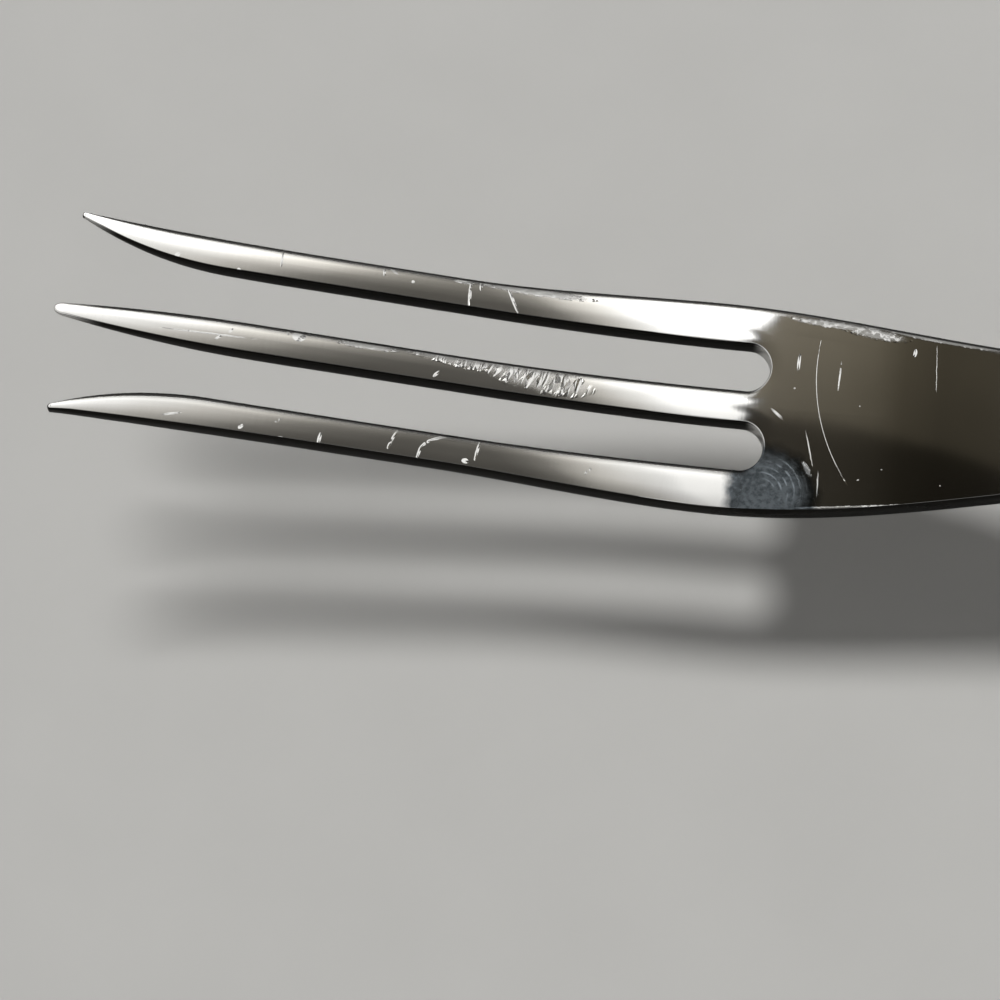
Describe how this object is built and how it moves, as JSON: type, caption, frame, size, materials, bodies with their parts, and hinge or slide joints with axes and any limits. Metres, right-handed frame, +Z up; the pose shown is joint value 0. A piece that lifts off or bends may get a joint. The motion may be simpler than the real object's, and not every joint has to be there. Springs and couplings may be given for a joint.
{
  "type": "carving fork",
  "caption": "Carving fork: pointed, upward-curving tines on a pressed steel blade with a full tang, clamped between wooden handle scales by flush brass cutler's rivets.",
  "frame": {"origin": "middle of the fork's length and width, on the surface it lies on", "axes": "+X from the tips to the butt of the handle, +Y across the tines, +Z up, out of the hollow side of the tines"},
  "size_m": [0.2548, 0.022, 0.0196],
  "materials": {
    "polished_steel": "polished stainless steel, scratched and worn by use",
    "rosewood": "oiled dark hardwood, satin",
    "brass": "ground flush, satin"
  },
  "bodies": {
    "root": {"fork_blade": "polished_steel", "upper_scale": "rosewood", "lower_scale": "rosewood", "rivet_tube_front": "brass", "rivet_tube_middle": "brass", "rivet_tube_rear": "brass", "rivet_pin_front": "brass", "rivet_pin_middle": "brass", "rivet_pin_rear": "brass"}
  },
  "joints": []
}
